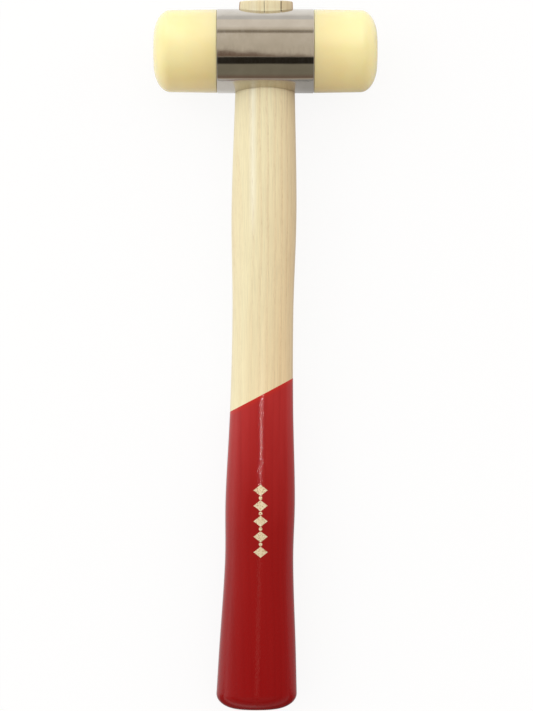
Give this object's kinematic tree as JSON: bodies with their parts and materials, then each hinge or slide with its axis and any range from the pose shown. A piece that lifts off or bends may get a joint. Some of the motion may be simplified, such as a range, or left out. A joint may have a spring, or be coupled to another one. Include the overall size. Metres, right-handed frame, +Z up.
{
  "type": "soft-face hammer",
  "caption": "Hand hammer with screw-off nylon faces on a chromed sleeve head and an oval wooden handle wedged through the head and dipped in red lacquer at the grip.",
  "frame": {"origin": "under the middle of the hammer, on the bench that it lies on", "axes": "+Y along the handle to the head, +X along the head to the right-hand face, +Z up from the bench toward the viewer of the picture"},
  "size_m": [0.093, 0.2948, 0.035],
  "materials": {
    "ash_wood": "fine straight grain under clear satin varnish",
    "wedge_wood": "sawn hardwood, bare",
    "bare_steel": "plain steel, lightly oiled",
    "chrome_plate": "bright chrome plate",
    "nylon": "turned natural nylon, slightly see-through, soft gloss",
    "red_lacquer": "thick dipped gloss lacquer over wood grain"
  },
  "bodies": {
    "hammer": {"handle": "ash_wood", "wooden_wedge": "wedge_wood", "steel_wedge": "bare_steel", "head_sleeve": "chrome_plate"},
    "left_stud": {"left_stud": "bare_steel"},
    "left_face": {"left_face": "nylon"},
    "right_stud": {"right_stud": "bare_steel"},
    "right_face": {"right_face": "nylon"}
  },
  "joints": [
    {"name": "left_stud_travel", "type": "slide", "parent": "hammer", "child": "left_stud", "axis": [-1, 0, 0], "range_m": [0, 0.007]},
    {"name": "left_face_turn", "type": "hinge", "parent": "left_stud", "child": "left_face", "pos_m": [-0.03, 0.12667, 0.0175], "axis": [-1, 0, 0], "range_deg": [0, 1440]},
    {"name": "right_stud_travel", "type": "slide", "parent": "hammer", "child": "right_stud", "axis": [1, 0, 0], "range_m": [0, 0.007]},
    {"name": "right_face_turn", "type": "hinge", "parent": "right_stud", "child": "right_face", "pos_m": [0.03, 0.12667, 0.0175], "axis": [1, 0, 0], "range_deg": [0, 1440]}
  ],
  "couplings": [
    {"joint": "left_stud_travel", "follows": "left_face_turn", "m_per_rad": 0.00027852},
    {"joint": "right_stud_travel", "follows": "right_face_turn", "m_per_rad": 0.00027852}
  ]
}
